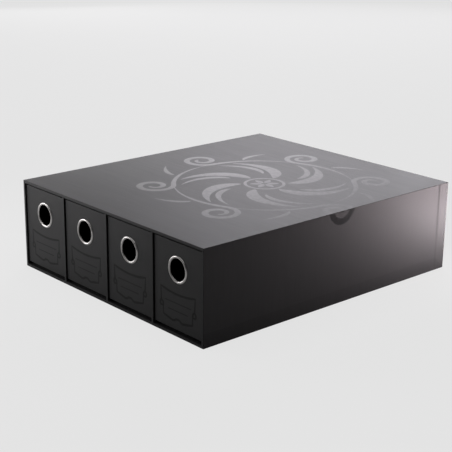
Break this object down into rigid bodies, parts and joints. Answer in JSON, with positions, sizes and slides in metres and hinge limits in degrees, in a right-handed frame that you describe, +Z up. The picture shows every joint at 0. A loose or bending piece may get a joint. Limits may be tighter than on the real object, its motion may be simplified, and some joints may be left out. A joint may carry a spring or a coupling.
{
  "type": "card drawer box",
  "caption": "Low black box of paper-wrapped rigid board for upright trading cards: tray drawers side by side, each with a metal finger ring, slide out at the front.",
  "frame": {"origin": "centre of the footprint, on the surface that the box stands on", "axes": "+X across the front, to the right when seen from the front; +Y from the drawer fronts to the back; +Z up"},
  "size_m": [0.335, 0.391, 0.1095],
  "materials": {
    "printed_case_paper": "satin",
    "plain_case_paper": "satin",
    "drawer_paper": "satin",
    "black_lining_paper": "matte",
    "grey_board": "matte",
    "ring_metal": "polished"
  },
  "bodies": {
    "case": {"top_board": "grey_board", "bottom_board": "grey_board", "left_board": "grey_board", "right_board": "grey_board", "back_board": "grey_board", "divider_1": "grey_board", "divider_2": "grey_board", "divider_3": "grey_board", "divider_1_wrap": "black_lining_paper", "divider_2_wrap": "black_lining_paper", "divider_3_wrap": "black_lining_paper", "cover_sheet": "printed_case_paper", "bottom_sheet": "plain_case_paper", "left_bottom_flap": "plain_case_paper", "right_bottom_flap": "plain_case_paper", "back_sheet": "plain_case_paper", "case_lining": "black_lining_paper"},
    "drawer_1": {"drawer_1_front_board": "grey_board", "drawer_1_left_board": "grey_board", "drawer_1_right_board": "grey_board", "drawer_1_back_board": "grey_board", "drawer_1_base_board": "grey_board", "drawer_1_wrap": "drawer_paper", "drawer_1_lining": "black_lining_paper", "drawer_1_finger_ring": "ring_metal"},
    "drawer_2": {"drawer_2_front_board": "grey_board", "drawer_2_left_board": "grey_board", "drawer_2_right_board": "grey_board", "drawer_2_back_board": "grey_board", "drawer_2_base_board": "grey_board", "drawer_2_wrap": "drawer_paper", "drawer_2_lining": "black_lining_paper", "drawer_2_finger_ring": "ring_metal"},
    "drawer_3": {"drawer_3_front_board": "grey_board", "drawer_3_left_board": "grey_board", "drawer_3_right_board": "grey_board", "drawer_3_back_board": "grey_board", "drawer_3_base_board": "grey_board", "drawer_3_wrap": "drawer_paper", "drawer_3_lining": "black_lining_paper", "drawer_3_finger_ring": "ring_metal"},
    "drawer_4": {"drawer_4_front_board": "grey_board", "drawer_4_left_board": "grey_board", "drawer_4_right_board": "grey_board", "drawer_4_back_board": "grey_board", "drawer_4_base_board": "grey_board", "drawer_4_wrap": "drawer_paper", "drawer_4_lining": "black_lining_paper", "drawer_4_finger_ring": "ring_metal"}
  },
  "joints": [
    {"name": "drawer_1_slide", "type": "slide", "parent": "case", "child": "drawer_1", "axis": [0, -1, 0], "range_m": [0, 0.375]},
    {"name": "drawer_2_slide", "type": "slide", "parent": "case", "child": "drawer_2", "axis": [0, -1, 0], "range_m": [0, 0.375]},
    {"name": "drawer_3_slide", "type": "slide", "parent": "case", "child": "drawer_3", "axis": [0, -1, 0], "range_m": [0, 0.375]},
    {"name": "drawer_4_slide", "type": "slide", "parent": "case", "child": "drawer_4", "axis": [0, -1, 0], "range_m": [0, 0.375]}
  ]
}
